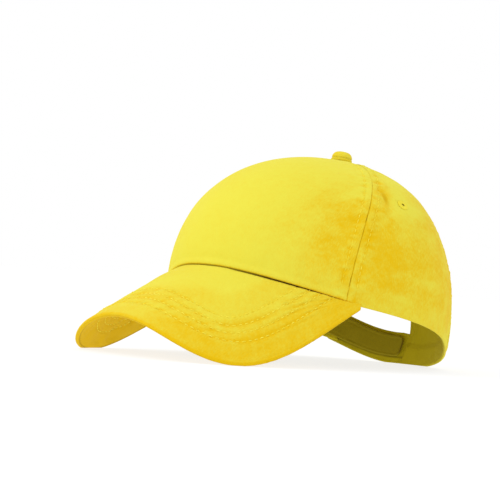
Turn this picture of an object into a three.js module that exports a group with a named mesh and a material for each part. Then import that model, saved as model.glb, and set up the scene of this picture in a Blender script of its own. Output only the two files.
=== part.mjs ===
// A five-panel cap of cotton twill with a curved peak and a hook-and-loop strap at the back.
// Millimetres and degrees, +Z up. The peak points along -Y and the wearer's left is +X.
// Angles round the head start at the front and grow towards the wearer's left.

import * as THREE from 'three';

const DEG = Math.PI / 180;

// Rim, seen from above: half lengths of its oval
const RIM_FRONT = 101;
const RIM_BACK = 96.3;
const RIM_SIDE = 85.3;
// How full the oval's four corners are, as shares: all round, more on the left, more in front
const CORNER_EVEN = -0.036;
const CORNER_LEFT = -0.041;
const CORNER_FRONT = 0.015;

// Crown
const CROWN_HEIGHT = 85.3;
const CROWN_TOP_FORWARD = 1.2;
const PANEL_WALL = 1.5;
const HEM_WALL = 2.4;
const HEM_HEIGHT = 14;
const TOP_HOLE_RADIUS = 3.4;
const SEAM_GAP = 0.3;

// Peak
const PEAK_LENGTH = 54.5;
const PEAK_HALF_WIDTH = 77.3;
const PEAK_SIDE_DROP = 58.7;
const PEAK_SLOPE = 36.7;
const PEAK_THICKNESS = 3;
const PEAK_END_WIDTH = 1.2;
const PEAK_END_THICKNESS = 1.8;
const PEAK_GAP = 0.35;
const PEAK_END_AT = 66.1;
// Exponents of the peak's cross curve, of its outline, of how slowly the outline leaves the rim and of
// how late the sheet narrows towards its two ends
const PEAK_BEND = 2.13;
const PEAK_SQUARENESS = 2.78;
const PEAK_END_EASE = 1.5;
const PEAK_END_TAPER = 8;

// Rear opening and its strap
const OPENING_AT = 202.3;
const OPENING_FOOT_WIDTH = 50;
const OPENING_WIDTH = 60;
const OPENING_HEIGHT = 52;
const STRAP_WIDTH = 21;
const STRAP_WALL = 1.6;
const STRAP_GAP = 0.3;
const STRAP_EDGE_GAP = 0.4;
const STRAP_LAP = 12;
const STRAP_SAG = 3;
const OUTER_LAP = 10;
const INNER_FREE_END = 2.4;
const INNER_TAB_WIDTH = 15.5;
const INNER_TAB_RISE = 3;
const INNER_TAB_CLIMB = 2;
const INNER_TAB_FLARE = 1.5;
const TAB_CORNER = 4;

// Button and eyelets
const BUTTON_RADIUS = 6.3;
const BUTTON_HEIGHT = 6;
const BUTTON_RIM_HEIGHT = 1.8;
const BUTTON_FOOT_RADIUS = 5.4;
const BUTTON_STEM_RADIUS = 2;
const BUTTON_STEM_LENGTH = 4;
const BUTTON_GAP = 0.3;
const EYELET_RADIUS = 3.6;
const EYELET_THREAD = 1.1;
const EYELET_GAP = 0.15;

// What rests on a surface is pressed flat by this much
const REST_PRESS = 1.3;

// Fineness of the mesh: steps across and up each sheet, and round each turned piece
const FINENESS = {
  front: { across: 30, up: 18 },
  side_left: { across: 16, up: 18 },
  side_right: { across: 14, up: 18 },
  back: { across: 20, up: 16 },
  peak: { across: 36, up: 9 },
  outer_tab: { across: 20, up: 3 },
  inner_tab: { across: 24, up: 3 },
  button: { across: 24, up: 8 },
  eyelet: { across: 20, up: 8 },
};
// Small steps for slopes, in degrees or millimetres, and rounds of a search by halving
const SLOPE_STEP = 0.5;
const FINE_STEP = 0.05;
const SEARCH_ROUNDS = 50;

// Share of a back panel's lower edge, in its own steps, that runs along the rim
const RIM_SHARE = 0.45;
// Share of the outer tab's length over which it comes outside the line of the crown
const STRAP_CLEAR_AT = 0.7;
// Exponent that keeps a back panel's columns beside the opening close to its edge
const ARCH_FAN = 3;
// Angle below the button's widest line at which its cover turns in
const BUTTON_UNDERCUT = 20;

// Crown sections: exponent of the rise and outward bulge as a share of the rim's side, by direction
const SECTIONS = {
  front: { rise: 2.03, bulge: 0.058 },
  side: { rise: 2.09, bulge: 0.062 },
  back: { rise: 2.21, bulge: -0.019 },
};

// Rim behind the peak: height below the peak's left end as a share of the rim's side, on each side
const RIM_HEIGHTS = [
  { at: 100, left: 0.037, right: 0.037 },
  { at: 140, left: 0.131, right: 0.1 },
  { at: 180, left: 0.222, right: 0.222 },
];

// Seams, going round: where each meets the rim, and how far it swings on its way to the top
const SEAMS = {
  front_left: { at: 60.6, swing: 13.8 },
  back_left: { at: 127.5, swing: 0.3 },
  back: { at: OPENING_AT, swing: -14 },
  back_right: { at: 250, swing: -6 },
  front_right: { at: 299.4, swing: -13.8 },
};

// Soft dents in the cloth: place round the head, rise, half sizes and depth as shares of the rim's side
const DENTS = [
  { at: 55, rise: 0.42, wide: 0.13, tall: 0.16, depth: 0.02 },
  { at: 72, rise: 0.38, wide: 0.1, tall: 0.14, depth: 0.022 },
  { at: 81, rise: 0.24, wide: 0.14, tall: 0.1, depth: 0.02 },
  { at: 75, rise: 0.72, wide: 0.05, tall: 0.06, depth: 0.014 },
  { at: 112, rise: 0.42, wide: 0.2, tall: 0.2, depth: 0.018 },
  { at: 236, rise: 0.34, wide: 0.18, tall: 0.2, depth: 0.02 },
  { at: 290, rise: 0.38, wide: 0.14, tall: 0.2, depth: 0.02 },
];

// Where the eyelets sit: share of the way across their side panel and turn up the crown
const EYELET_ACROSS = 0.275;
const EYELET_TURN = 45;

const lerp = THREE.MathUtils.lerp;
const clamp = THREE.MathUtils.clamp;

function signedTurn(degrees) {
  return THREE.MathUtils.euclideanModulo(degrees + 180, 360) - 180;
}

// Value that goes from front to side to back as the angle goes round
function roundTheHead(angle, front, side, back) {
  const facing = Math.cos(angle * DEG);
  return side + ((facing > 0 ? front : back) - side) * facing * facing;
}

function rimPlan(angle) {
  const facing = Math.cos(angle * DEG);
  const left = Math.sin(angle * DEG);
  const corner = CORNER_EVEN + CORNER_LEFT * left + CORNER_FRONT * facing;
  const fullness = 1 + Math.sin(2 * angle * DEG) ** 2 * corner;
  const reach = facing > 0 ? RIM_FRONT : RIM_BACK;
  return new THREE.Vector2(RIM_SIDE * left * fullness, -reach * facing * fullness);
}

// Height of the peak's middle layer over a point of the plan
function peakHeight(x, y) {
  const drop = PEAK_SIDE_DROP * (Math.abs(x) / PEAK_HALF_WIDTH) ** PEAK_BEND;
  return Math.tan(PEAK_SLOPE * DEG) * (y + RIM_FRONT) - drop;
}

function rimHeightUnderPeak(angle) {
  const plan = rimPlan(angle);
  return peakHeight(plan.x, plan.y);
}

// Smooth curve through rows of place and value, flat at its last row
function smoothRows(rows, startSlope, place) {
  const slopes = rows.map((row, i) => {
    if (i === 0) return startSlope;
    if (i === rows.length - 1) return 0;
    return (rows[i + 1].value - rows[i - 1].value) / (rows[i + 1].place - rows[i - 1].place);
  });
  let i = 0;
  while (i < rows.length - 2 && place > rows[i + 1].place) i += 1;
  const span = rows[i + 1].place - rows[i].place;
  const t = clamp((place - rows[i].place) / span, 0, 1);
  return rows[i].value * (1 + 2 * t) * (1 - t) ** 2
    + rows[i + 1].value * t * t * (3 - 2 * t)
    + slopes[i] * span * t * (1 - t) ** 2
    - slopes[i + 1] * span * t * t * (1 - t);
}

function rimHeight(angle) {
  const turn = signedTurn(angle);
  const side = turn < 0 ? -1 : 1;
  if (Math.abs(turn) <= PEAK_END_AT) return rimHeightUnderPeak(turn);
  const end = rimHeightUnderPeak(side * PEAK_END_AT);
  const before = rimHeightUnderPeak(side * (PEAK_END_AT - FINE_STEP));
  const leftEnd = rimHeightUnderPeak(PEAK_END_AT);
  const rows = RIM_HEIGHTS.map(({ at, left, right }) => (
    { place: at, value: leftEnd - (side < 0 ? right : left) * RIM_SIDE }));
  rows.unshift({ place: PEAK_END_AT, value: end });
  return smoothRows(rows, (end - before) / FINE_STEP, Math.abs(turn));
}

// Depth of the cloth's dents at a place round the head, with the rise as a share of the crown
function dentDepth(angle, rise) {
  return DENTS.reduce((sum, dent) => {
    const across = signedTurn(angle - dent.at) * DEG / dent.wide;
    const up = (rise - dent.rise) / dent.tall;
    return sum + dent.depth * RIM_SIDE * Math.exp(-(across * across + up * up) / 2);
  }, 0);
}

// Outer face of the crown: turn 0 is the rim and 90 is the top
function crownPoint(angle, turn) {
  const rim = rimPlan(angle);
  const base = rimHeight(angle);
  const { front, side, back } = SECTIONS;
  const power = 2 / roundTheHead(angle, front.rise, side.rise, back.rise);
  const closing = Math.max(Math.cos(turn * DEG), 0) ** power;
  const rising = Math.max(Math.sin(turn * DEG), 0) ** power;
  const bulge = roundTheHead(angle, front.bulge, side.bulge, back.bulge) * RIM_SIDE;
  const outward = bulge * Math.sin(2 * turn * DEG) - dentDepth(angle, rising) * Math.sin(2 * turn * DEG);
  const reach = rim.length();
  return new THREE.Vector3(
    rim.x * closing + outward * rim.x / reach,
    -CROWN_TOP_FORWARD * (1 - closing) + rim.y * closing + outward * rim.y / reach,
    base + (CROWN_HEIGHT - base) * rising,
  );
}

function crownNormal(angle, turn) {
  const low = clamp(turn, 0, 88);
  const across = crownPoint(angle + SLOPE_STEP, low).sub(crownPoint(angle - SLOPE_STEP, low));
  const up = crownPoint(angle, low + SLOPE_STEP).sub(crownPoint(angle, low));
  return across.cross(up).normalize();
}

function crownTurnAtHeight(angle, height) {
  const { front, side, back } = SECTIONS;
  const power = 2 / roundTheHead(angle, front.rise, side.rise, back.rise);
  const share = clamp(height / (CROWN_HEIGHT - rimHeight(angle)), 0, 1);
  return Math.asin(share ** (1 / power)) / DEG;
}

// Turn at which the crown closes to a given distance from its axis
function crownTurnAtRadius(angle, radius) {
  let low = 0;
  let high = 90;
  for (let i = 0; i < SEARCH_ROUNDS; i += 1) {
    const middle = (low + high) / 2;
    const point = crownPoint(angle, middle);
    if (Math.hypot(point.x, point.y + CROWN_TOP_FORWARD) > radius) low = middle;
    else high = middle;
  }
  return low;
}

function seamAngle(seam, turn) {
  return seam.at + seam.swing * Math.sin(turn * DEG) ** 2;
}

// Outer edge of the peak seen from above: share -1 is its right end and 1 its left
function peakOutline(share) {
  const side = share < 0 ? -1 : 1;
  const end = rimPlan(side * PEAK_END_AT);
  const swing = share * Math.PI / 2;
  const across = Math.abs(Math.sin(swing));
  const ahead = Math.abs(Math.cos(swing));
  const size = (across ** PEAK_SQUARENESS + ahead ** PEAK_SQUARENESS) ** (1 / PEAK_SQUARENESS);
  const ease = (1 - ahead / size) ** PEAK_END_EASE;
  return new THREE.Vector2(
    lerp(side * PEAK_HALF_WIDTH * across / size, end.x, ease),
    end.y - (RIM_FRONT + PEAK_LENGTH + end.y) * ahead / size,
  );
}

function lowest(points, pitch) {
  return Math.min(...points.map((p) => p.y * Math.sin(pitch) + p.z * Math.cos(pitch)));
}

// The whole cap tips until its peak and the back of its rim both touch the floor
function findRest() {
  const peak = [];
  const back = [];
  for (let i = 0; i <= 90; i += 1) {
    const edge = peakOutline(i / 90);
    peak.push(new THREE.Vector3(edge.x, edge.y, peakHeight(edge.x, edge.y) - PEAK_THICKNESS / 2));
    back.push(crownPoint(90 + i * 2, 0));
  }
  let low = -30 * DEG;
  let high = 30 * DEG;
  for (let i = 0; i < SEARCH_ROUNDS; i += 1) {
    const middle = (low + high) / 2;
    if (lowest(back, middle) > lowest(peak, middle)) high = middle;
    else low = middle;
  }
  return { pitch: low, floor: lowest(back, low) + REST_PRESS };
}

const REST = findRest();

// Moves a point to the resting cap's frame, with cloth below the floor pressed flat
function toRest(point) {
  const y = point.y * Math.cos(REST.pitch) - point.z * Math.sin(REST.pitch);
  const z = point.y * Math.sin(REST.pitch) + point.z * Math.cos(REST.pitch);
  return new THREE.Vector3(point.x, y, Math.max(z - REST.floor, 0));
}

// Closed sheet between two faces given over a grid: across 0 to 1 and up 0 to 1
function sheet(outerAt, innerAt, { across, up }) {
  const positions = [];
  const index = [];
  const row = across + 1;
  const count = row * (up + 1);
  [outerAt, innerAt].forEach((at) => {
    for (let j = 0; j <= up; j += 1) {
      for (let i = 0; i <= across; i += 1) positions.push(...toRest(at(i / across, j / up)).toArray());
    }
  });
  const quad = (a, b, c, d) => index.push(a, b, c, a, c, d);
  for (let j = 0; j < up; j += 1) {
    for (let i = 0; i < across; i += 1) {
      const a = j * row + i;
      quad(a, a + 1, a + 1 + row, a + row);
      quad(a + count, a + row + count, a + 1 + row + count, a + 1 + count);
    }
  }
  for (let i = 0; i < across; i += 1) {
    const top = up * row + i;
    quad(i, i + count, i + 1 + count, i + 1);
    quad(top, top + 1, top + 1 + count, top + count);
  }
  for (let j = 0; j < up; j += 1) {
    const left = j * row;
    const right = left + across;
    quad(left, left + row, left + row + count, left + count);
    quad(right, right + count, right + row + count, right + row);
  }
  const geometry = new THREE.BufferGeometry();
  geometry.setAttribute('position', new THREE.Float32BufferAttribute(positions, 3));
  geometry.setIndex(index);
  geometry.computeVertexNormals();
  return geometry;
}

function wallAt(angle, turn) {
  const height = crownPoint(angle, turn).z - rimHeight(angle);
  const share = clamp(height / HEM_HEIGHT, 0, 1);
  return lerp(HEM_WALL, PANEL_WALL, share * share * (3 - 2 * share));
}

function insideCrown(angle, turn, depth) {
  return crownPoint(angle, turn).addScaledVector(crownNormal(angle, turn), -depth);
}

// Angle that half a seam gap takes up at a height of the crown
function halfGapAngle(angle, turn) {
  const point = crownPoint(angle, turn);
  return SEAM_GAP / 2 / Math.hypot(point.x, point.y + CROWN_TOP_FORWARD) / DEG;
}

// A panel from one seam to the next. Its lower edge gives the turn, and the share of the way across
function panel(first, second, lowerEdge, fineness) {
  const edgeOf = (seam, side, turn) => {
    const angle = seamAngle(seam, turn);
    return angle + side * halfGapAngle(angle, turn);
  };
  const place = (u, v) => {
    const low = lowerEdge(u);
    const topTurn = crownTurnAtRadius(lerp(first.at, second.at, u), TOP_HOLE_RADIUS);
    const turn = lerp(low.turn, topTurn, v);
    const firstAngle = edgeOf(first, 1, turn);
    const secondAngle = edgeOf(second, -1, turn);
    const share = lerp(low.share, u, 1 - (1 - v) ** ARCH_FAN);
    return { angle: lerp(firstAngle, secondAngle, share), turn };
  };
  const outer = (u, v) => {
    const { angle, turn } = place(u, v);
    return crownPoint(angle, turn);
  };
  const inner = (u, v) => {
    const { angle, turn } = place(u, v);
    return insideCrown(angle, turn, wallAt(angle, turn));
  };
  return sheet(outer, inner, fineness);
}

const rimEdge = (u) => ({ turn: 0, share: u });

// Height at which the rear opening is widest: its arch is a half circle above it
const OPENING_SHOULDER = OPENING_HEIGHT - OPENING_WIDTH / 2;

// Half of the rear opening at a height above the rim: drawn in by the strap at its foot
function openingHalfAngle(height) {
  const up = clamp(height / OPENING_SHOULDER, 0, 1);
  const beside = lerp(OPENING_FOOT_WIDTH, OPENING_WIDTH, Math.sin(up * Math.PI / 2));
  const over = clamp((height - OPENING_SHOULDER) / (OPENING_WIDTH / 2), 0, 1);
  return strapAngle(beside / 2 * Math.sqrt(1 - over * over));
}

// Lower edge of a back panel: along the rim, up beside the opening and over its arch
function archEdge(first, second) {
  const side = second === SEAMS.back ? -1 : 1;
  const start = side < 0 ? first.at : second.at;
  const foot = openingEdge(side, 0);
  const arc = OPENING_WIDTH / 4 * Math.PI;
  const heightAlong = (along) => {
    const way = along * (OPENING_SHOULDER + arc);
    if (way < OPENING_SHOULDER) return way;
    return OPENING_SHOULDER + OPENING_WIDTH / 2 * Math.sin((way - OPENING_SHOULDER) / arc * Math.PI / 2);
  };
  return (u) => {
    const way = side < 0 ? u : 1 - u;
    const height = way > RIM_SHARE ? heightAlong((way - RIM_SHARE) / (1 - RIM_SHARE)) : 0;
    const turn = crownTurnAtHeight(OPENING_AT, height);
    const angle = way > RIM_SHARE ? openingEdge(side, height) : lerp(start, foot, way / RIM_SHARE);
    const a = seamAngle(first, turn);
    const b = seamAngle(second, turn);
    return { turn, share: clamp((angle - a) / (b - a), 0, 1) };
  };
}

function rimNormal(angle) {
  const along = rimPlan(angle + SLOPE_STEP).sub(rimPlan(angle - SLOPE_STEP)).normalize();
  return new THREE.Vector2(along.y, -along.x);
}

function peakInnerEdge(share) {
  const angle = share * PEAK_END_AT;
  return rimPlan(angle).addScaledVector(rimNormal(angle), PEAK_GAP);
}

// Point of the peak's plan: u from its right end to its left, v from the rim to the outer edge
function peakPlan(u, v) {
  const share = 2 * u - 1;
  const widening = PEAK_END_WIDTH * Math.abs(share) ** PEAK_END_TAPER;
  const outer = peakOutline(share).addScaledVector(rimNormal(share * PEAK_END_AT), widening);
  return peakInnerEdge(share).lerp(outer, v);
}

// A face of the peak, above its middle layer (1) or below it (-1)
function peakFace(side) {
  return (u, v) => {
    const plan = peakPlan(u, v);
    const thickness = lerp(PEAK_THICKNESS, PEAK_END_THICKNESS, Math.abs(2 * u - 1) ** PEAK_END_TAPER);
    const offset = side * thickness / 2;
    const height = peakHeight(plan.x, plan.y);
    const after = peakHeight(plan.x + SLOPE_STEP, plan.y);
    const slopeX = (after - peakHeight(plan.x - SLOPE_STEP, plan.y)) / (2 * SLOPE_STEP);
    const slopeY = Math.tan(PEAK_SLOPE * DEG);
    const up = new THREE.Vector3(-slopeX, -slopeY, 1).normalize();
    return new THREE.Vector3(plan.x, plan.y, height).addScaledVector(up, offset);
  };
}

function buildPeak() {
  return sheet(peakFace(-1), peakFace(1), FINENESS.peak);
}

// Angle of the rear opening's edge at a height above the rim, on its left (-1) or right (1)
function openingEdge(side, height) {
  return seamAngle(SEAMS.back, crownTurnAtHeight(OPENING_AT, height)) + side * openingHalfAngle(height);
}

// How far the strap hangs below the line of the rim
function strapSag(angle) {
  const left = openingEdge(-1, 0);
  const way = clamp((angle - left) / (openingEdge(1, 0) + strapAngle(OUTER_LAP) - left), 0, 1);
  return STRAP_SAG * Math.sin(way * Math.PI);
}

// A strap tab along the crown's lower edge. It runs from startAt to endAt, angles given by height,
// between two heights and at a depth given by the way along, and its free end has round corners
function tab({ startAt, endAt, lowAt, highAt, depthAt, fineness }) {
  const length = Math.abs(endAt(0) - startAt(0)) / strapAngle(1);
  const face = (wall) => (u, v) => {
    const cut = Math.max(TAB_CORNER - (1 - u) * length, 0);
    const lost = TAB_CORNER - Math.sqrt(TAB_CORNER ** 2 - cut ** 2);
    const height = lerp(lowAt(u) + lost, highAt(u) - lost, v);
    const angle = lerp(startAt(height), endAt(height), u);
    const point = insideCrown(angle, crownTurnAtHeight(angle, height), depthAt(u) + wall);
    point.z -= strapSag(angle);
    return point;
  };
  const outer = face(0);
  const inner = face(STRAP_WALL);
  return endAt(0) > startAt(0) ? sheet(outer, inner, fineness) : sheet(inner, outer, fineness);
}

// Angle that a distance along the strap takes up
function strapAngle(distance) {
  return distance / rimPlan(OPENING_AT).length() / DEG;
}

// Comes out of the left panel's edge, flush with its outer face, and laps over the right panel
function buildOuterStrap() {
  return tab({
    startAt: (height) => openingEdge(-1, height) + strapAngle(STRAP_EDGE_GAP),
    endAt: () => openingEdge(1, 0) + strapAngle(OUTER_LAP),
    lowAt: () => 0,
    highAt: () => STRAP_WIDTH,
    depthAt: (u) => -(STRAP_WALL + STRAP_GAP) * THREE.MathUtils.smoothstep(u, 0, STRAP_CLEAR_AT),
    fineness: FINENESS.outer_tab,
  });
}

// Sewn inside the right panel, and ends just short of the left panel's edge
function buildInnerStrap() {
  return tab({
    startAt: () => openingEdge(1, 0) + strapAngle(STRAP_LAP),
    endAt: (height) => openingEdge(-1, height) + strapAngle(INNER_FREE_END),
    lowAt: (u) => INNER_TAB_RISE + INNER_TAB_CLIMB * u,
    highAt: (u) => INNER_TAB_RISE + INNER_TAB_WIDTH + INNER_TAB_FLARE * (1 - u),
    depthAt: () => HEM_WALL + STRAP_GAP,
    fineness: FINENESS.inner_tab,
  });
}

function buildButton() {
  const profile = [new THREE.Vector2(0, -BUTTON_STEM_LENGTH)];
  profile.push(new THREE.Vector2(BUTTON_STEM_RADIUS, -BUTTON_STEM_LENGTH));
  profile.push(new THREE.Vector2(BUTTON_STEM_RADIUS, 0));
  profile.push(new THREE.Vector2(BUTTON_FOOT_RADIUS, 0));
  const { across, up } = FINENESS.button;
  for (let i = 0; i <= up; i += 1) {
    const angle = lerp(-BUTTON_UNDERCUT, 90, i / up) * DEG;
    const reach = angle < 0 ? BUTTON_RIM_HEIGHT : BUTTON_HEIGHT - BUTTON_RIM_HEIGHT;
    const height = BUTTON_RIM_HEIGHT + reach * Math.sin(angle);
    profile.push(new THREE.Vector2(i === up ? 0 : BUTTON_RADIUS * Math.cos(angle), height));
  }
  return new THREE.LatheGeometry(profile, across);
}

function buildEyelet() {
  const profile = [];
  const { across, up } = FINENESS.eyelet;
  for (let i = 0; i <= up; i += 1) {
    const angle = i % up / up * 2 * Math.PI;
    profile.push(new THREE.Vector2(
      EYELET_RADIUS - EYELET_THREAD + EYELET_THREAD * Math.cos(angle),
      EYELET_THREAD / 2 * (1 + Math.sin(angle)),
    ));
  }
  return new THREE.LatheGeometry(profile, across);
}

const cloth = (color) => new THREE.MeshStandardMaterial({ color, roughness: 0.9, metalness: 0 });
const cap = new THREE.Group();

function add(name, geometry, color) {
  const mesh = new THREE.Mesh(geometry, cloth(color));
  mesh.name = name;
  cap.add(mesh);
  return mesh;
}

// Stands a turned piece on a point of the crown, its own +Y along the crown's normal
function standOn(mesh, point, normal, gap) {
  const foot = toRest(point);
  const tip = toRest(point.clone().add(normal));
  const up = tip.sub(foot).normalize();
  mesh.quaternion.setFromUnitVectors(new THREE.Vector3(0, 1, 0), up);
  mesh.position.copy(foot.addScaledVector(up, gap));
}

const YELLOW = 0xe8d23c;
const SHADED_YELLOW = 0xd6bd34;
const frontRight = { ...SEAMS.front_right, at: SEAMS.front_right.at - 360 };

add('front_panel', panel(frontRight, SEAMS.front_left, rimEdge, FINENESS.front), YELLOW);
add('side_panel_left', panel(SEAMS.front_left, SEAMS.back_left, rimEdge, FINENESS.side_left), YELLOW);
add('side_panel_right', panel(SEAMS.back_right, SEAMS.front_right, rimEdge, FINENESS.side_right), YELLOW);
const leftEdge = archEdge(SEAMS.back_left, SEAMS.back);
const rightEdge = archEdge(SEAMS.back, SEAMS.back_right);
add('back_panel_left', panel(SEAMS.back_left, SEAMS.back, leftEdge, FINENESS.back), YELLOW);
add('back_panel_right', panel(SEAMS.back, SEAMS.back_right, rightEdge, FINENESS.back), YELLOW);
add('peak', buildPeak(), YELLOW);
add('strap_outer', buildOuterStrap(), SHADED_YELLOW);
add('strap_inner', buildInnerStrap(), SHADED_YELLOW);

const top = new THREE.Vector3(0, -CROWN_TOP_FORWARD, CROWN_HEIGHT);
standOn(add('button', buildButton(), YELLOW), top, new THREE.Vector3(0, 0, 1), BUTTON_GAP);

function addEyelet(name, first, second, across) {
  const angle = lerp(seamAngle(first, EYELET_TURN), seamAngle(second, EYELET_TURN), across);
  const mesh = add(name, buildEyelet(), SHADED_YELLOW);
  standOn(mesh, crownPoint(angle, EYELET_TURN), crownNormal(angle, EYELET_TURN), EYELET_GAP);
}

addEyelet('eyelet_left', SEAMS.front_left, SEAMS.back_left, EYELET_ACROSS);
addEyelet('eyelet_right', SEAMS.back_right, SEAMS.front_right, 1 - EYELET_ACROSS);

// The origin is on the floor under the middle of the cap's box
const middle = new THREE.Box3().setFromObject(cap, true).getCenter(new THREE.Vector3());
middle.z = 0;
cap.children.forEach((mesh) => mesh.position.sub(middle));

export default cap;
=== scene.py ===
"""A five-panel cap of yellow cotton twill, resting on its peak and the back of its rim.

The shape functions work in millimetres and degrees, in the frame of the cap on a level head. The
meshes are in metres, in the frame of the resting cap.
"""
import math

import bpy
import numpy as np
from mathutils import Matrix, Vector


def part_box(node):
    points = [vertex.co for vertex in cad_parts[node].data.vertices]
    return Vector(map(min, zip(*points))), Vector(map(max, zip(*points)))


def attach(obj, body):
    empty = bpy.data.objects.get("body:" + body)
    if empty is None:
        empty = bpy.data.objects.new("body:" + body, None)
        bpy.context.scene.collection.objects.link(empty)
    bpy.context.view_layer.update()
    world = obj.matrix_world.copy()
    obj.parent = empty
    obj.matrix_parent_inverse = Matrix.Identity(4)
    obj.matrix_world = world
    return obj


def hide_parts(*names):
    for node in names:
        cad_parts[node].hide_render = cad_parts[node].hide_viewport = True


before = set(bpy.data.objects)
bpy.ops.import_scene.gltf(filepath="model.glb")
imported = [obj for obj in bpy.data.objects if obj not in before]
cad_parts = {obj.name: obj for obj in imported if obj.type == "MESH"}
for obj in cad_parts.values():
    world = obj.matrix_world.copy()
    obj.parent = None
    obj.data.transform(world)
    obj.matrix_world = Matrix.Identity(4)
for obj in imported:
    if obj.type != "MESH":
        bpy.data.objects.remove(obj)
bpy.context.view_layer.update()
MM = 0.001

# Steps over which a slope is read off a shape, in millimetres or degrees
SLOPE_STEP = 0.5
FINE_STEP = 0.05

# Rim, seen from above
RIM_FRONT = 101.0
RIM_BACK = 96.3
RIM_SIDE = 85.3
CORNER_EVEN = -0.036
CORNER_LEFT = -0.041
CORNER_FRONT = 0.015

# Crown
CROWN_HEIGHT = 85.3
CROWN_TOP_FORWARD = 1.2
PANEL_WALL = 1.5
HEM_WALL = 2.4
HEM_HEIGHT = 14.0
TOP_HOLE_RADIUS = 3.4

# Peak
PEAK_LENGTH = 54.5
PEAK_HALF_WIDTH = 77.3
PEAK_SIDE_DROP = 58.7
PEAK_SLOPE = 36.7
PEAK_THICKNESS = 3.0
PEAK_END_WIDTH = 1.2
PEAK_END_THICKNESS = 1.8
PEAK_END_TAPER = 8
PEAK_TUCK = 1.2
PEAK_END_AT = 66.1
PEAK_BEND = 2.13
PEAK_SQUARENESS = 2.78
PEAK_END_EASE = 1.5

# Rear opening and its strap
OPENING_AT = 202.3
OPENING_FOOT_WIDTH = 50.0
OPENING_WIDTH = 60.0
OPENING_HEIGHT = 52.0
OPENING_SHOULDER = OPENING_HEIGHT - OPENING_WIDTH / 2
STRAP_WIDTH = 21.0
STRAP_WALL = 1.6
STRAP_GAP = 0.3
STRAP_JOIN = 0.4
STRAP_LAP = 12.0
STRAP_SAG = 3.0
STRAP_CLEAR_AT = 0.7
OUTER_LAP = 10.0
INNER_FREE_END = 2.4
INNER_TAB_WIDTH = 15.5
INNER_TAB_RISE = 3.0
INNER_TAB_CLIMB = 2.0
INNER_TAB_FLARE = 1.5
TAB_CORNER = 4.0
RIM_SHARE = 0.45

# Button and eyelets
BUTTON_RADIUS = 6.3
BUTTON_HEIGHT = 6.0
BUTTON_RIM_HEIGHT = 1.8
BUTTON_GAP = 0.3
EYELET_RADIUS = 3.6
EYELET_HOLE = 0.8
EYELET_ACROSS = 0.275
EYELET_TURN = 45.0
REST_PRESS = 1.3

# Crown sections: exponent of the rise and outward bulge, at the front, the side and the back
RISES = (2.03, 2.09, 2.21)
BULGES = (0.058, 0.062, -0.019)

# Rim behind the peak: angle, and drop below the peak's left end as shares of the rim's side
RIM_HEIGHTS_LEFT = ((100.0, 0.037), (140.0, 0.131), (180.0, 0.222))
RIM_HEIGHTS_RIGHT = ((100.0, 0.037), (140.0, 0.1), (180.0, 0.222))

# Seams: where each meets the rim and its swing on the way up
SEAMS = {
    "front_left": (60.6, 13.8),
    "back_left": (127.5, 0.3),
    "back": (OPENING_AT, -14.0),
    "back_right": (250.0, -6.0),
    "front_right": (299.4, -13.8),
}

# Soft dents: angle, rise, half width, half height and depth
DENTS = (
    (55, 0.42, 0.13, 0.16, 0.02),
    (72, 0.38, 0.10, 0.14, 0.022),
    (81, 0.24, 0.14, 0.10, 0.02),
    (75, 0.72, 0.05, 0.06, 0.014),
    (112, 0.42, 0.20, 0.20, 0.018),
    (236, 0.34, 0.18, 0.20, 0.02),
    (290, 0.38, 0.14, 0.20, 0.02),
)

# Painted crease shade of a small tuck beside the left eyelet: its angle and rise
TUCK_AT = 75.0
TUCK_RISE = 0.72

# Camera in the frame of the level head
CAMERA_AT = (824.75, -809.88, -110.39)
CAMERA_AZIMUTH = 47.881
CAMERA_ELEVATION = -6.508
CAMERA_ROLL = 10.193
CAMERA_LENS = 133.8


# Small tools for arrays
def lerp(a, b, share):
    return a + (b - a) * share


def smooth(low, high, value):
    share = np.clip((value - low) / (high - low), 0, 1)
    return share * share * (3 - 2 * share)


def bell(value, width):
    return np.exp(-((value / width) ** 2))


def length_of(vectors):
    return np.linalg.norm(vectors, axis=-1)


def unit(vectors):
    return vectors / np.maximum(length_of(vectors), 1e-9)[..., None]


RIPPLE_CELLS = 96


def ripple(x, y, seed):
    """Smooth random field with features about one unit across."""
    table = np.random.default_rng(seed).uniform(-1, 1, (RIPPLE_CELLS, RIPPLE_CELLS))
    column, row = np.floor(x).astype(int), np.floor(y).astype(int)
    across, up = x - column, y - row
    across, up = (t * t * t * (t * (6 * t - 15) + 10) for t in (across, up))
    at = lambda i, j: table[(column + i) % RIPPLE_CELLS, (row + j) % RIPPLE_CELLS]
    low = lerp(at(0, 0), at(1, 0), across)
    high = lerp(at(0, 1), at(1, 1), across)
    return lerp(low, high, up)


def nearest(points, line):
    """Distance from each point to the closest point of a line."""
    flat = points.reshape(-1, 3)
    best = np.full(len(flat), 1e9)
    for start in range(0, len(line), 64):
        part = line[start:start + 64]
        gaps = length_of(flat[:, None, :] - part[None, :, :])
        best = np.minimum(best, gaps.min(1))
    return best.reshape(points.shape[:-1])


# Shape of the crown
def turn_from_front(angle):
    """Angle from the front, left positive, between -180 and 180."""
    return (angle + 180) % 360 - 180


def round_the_head(angle, values):
    front, side, back = values
    facing = np.cos(np.radians(angle))
    return side + (np.where(facing > 0, front, back) - side) * facing ** 2


def rim_plan(angle):
    facing, left = np.cos(np.radians(angle)), np.sin(np.radians(angle))
    corner = CORNER_EVEN + CORNER_LEFT * left + CORNER_FRONT * facing
    fullness = 1 + np.sin(2 * np.radians(angle)) ** 2 * corner
    reach = np.where(facing > 0, RIM_FRONT, RIM_BACK)
    return np.stack([RIM_SIDE * left * fullness, -reach * facing * fullness], -1)


def peak_height(x, y):
    drop = PEAK_SIDE_DROP * (np.abs(x) / PEAK_HALF_WIDTH) ** PEAK_BEND
    return math.tan(math.radians(PEAK_SLOPE)) * (y + RIM_FRONT) - drop


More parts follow.
